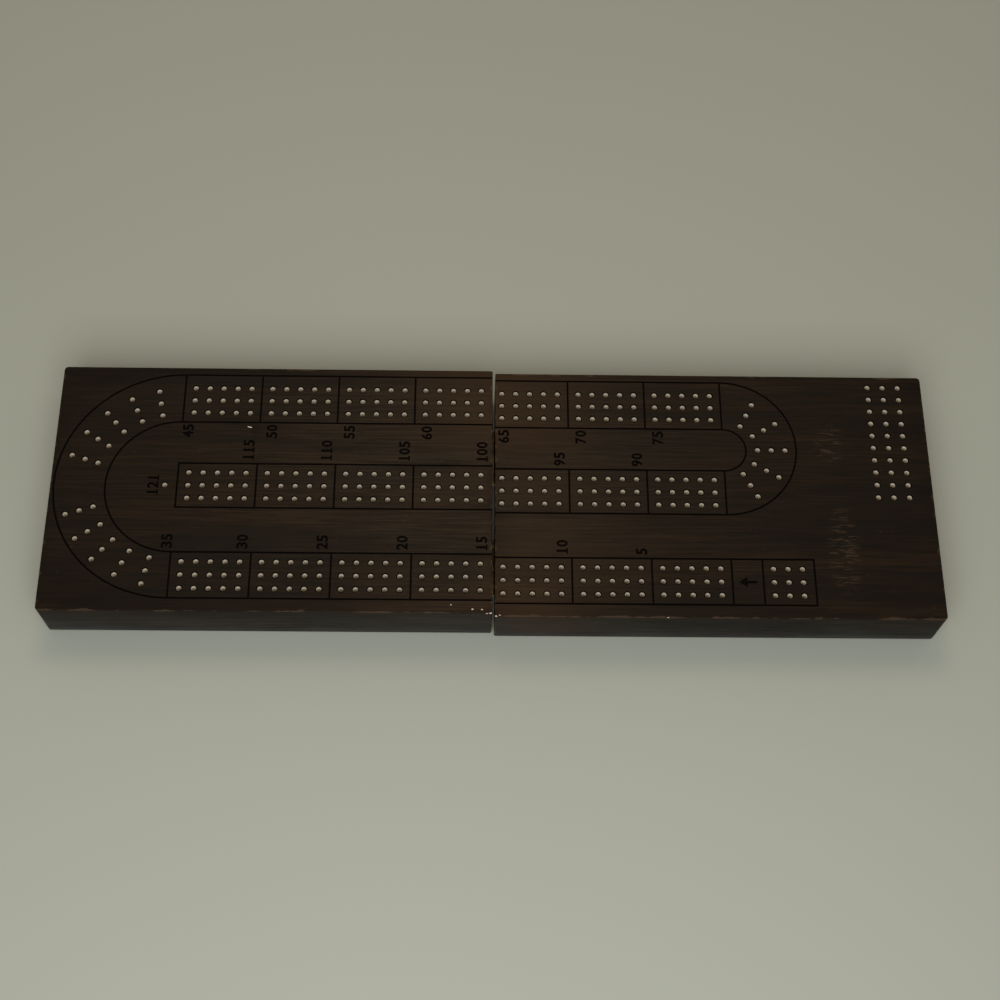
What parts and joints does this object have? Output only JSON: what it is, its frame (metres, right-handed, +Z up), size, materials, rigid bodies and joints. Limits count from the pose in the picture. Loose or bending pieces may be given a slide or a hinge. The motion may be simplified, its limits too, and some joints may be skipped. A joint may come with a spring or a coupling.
{
  "type": "folding cribbage box",
  "caption": "Flat two-part wooden peg-scoring board with a three-lane track that folds into a box, with a card well and a pull-out peg drawer.",
  "frame": {"origin": "centre of the opened board, at the level its feet stand on; the seam is the plane x = 0", "axes": "+X along the board towards the drawer end, +Y away from the player, +Z up out of the playing face"},
  "size_m": [0.3746, 0.1146, 0.0255],
  "materials": {
    "dark_wood": "dark stained hardwood, satin lacquer, worn along the edges",
    "pale_wood": "bare pale hardwood, lightly sanded",
    "brass": "aged, satin",
    "felt": "dense felt"
  },
  "bodies": {
    "left_board": {"left_half": "dark_wood", "front_hinge_left_leaf": "brass", "back_hinge_left_leaf": "brass", "front_hinge_pin": "brass", "back_hinge_pin": "brass", "left_leaf_screws": "brass", "left_feet": "felt"},
    "right_board": {"right_half": "dark_wood", "bay_floor": "dark_wood", "bay_floor_screws": "brass", "drawer_stop_pin": "brass", "front_hinge_right_leaf": "brass", "back_hinge_right_leaf": "brass", "right_leaf_screws": "brass", "right_feet": "felt"},
    "drawer": {"drawer_front": "dark_wood", "drawer_near_side": "pale_wood", "drawer_far_side": "pale_wood", "drawer_back": "pale_wood", "drawer_bottom": "pale_wood", "drawer_divider": "pale_wood"}
  },
  "joints": [
    {"name": "fold", "type": "hinge", "parent": "left_board", "child": "right_board", "pos_m": [0, 0, 0.0015], "axis": [0, 1, 0], "range_deg": [0, 179.4]},
    {"name": "drawer_slide", "type": "slide", "parent": "right_board", "child": "drawer", "axis": [1, 0, 0], "range_m": [0, 0.1069]}
  ]
}
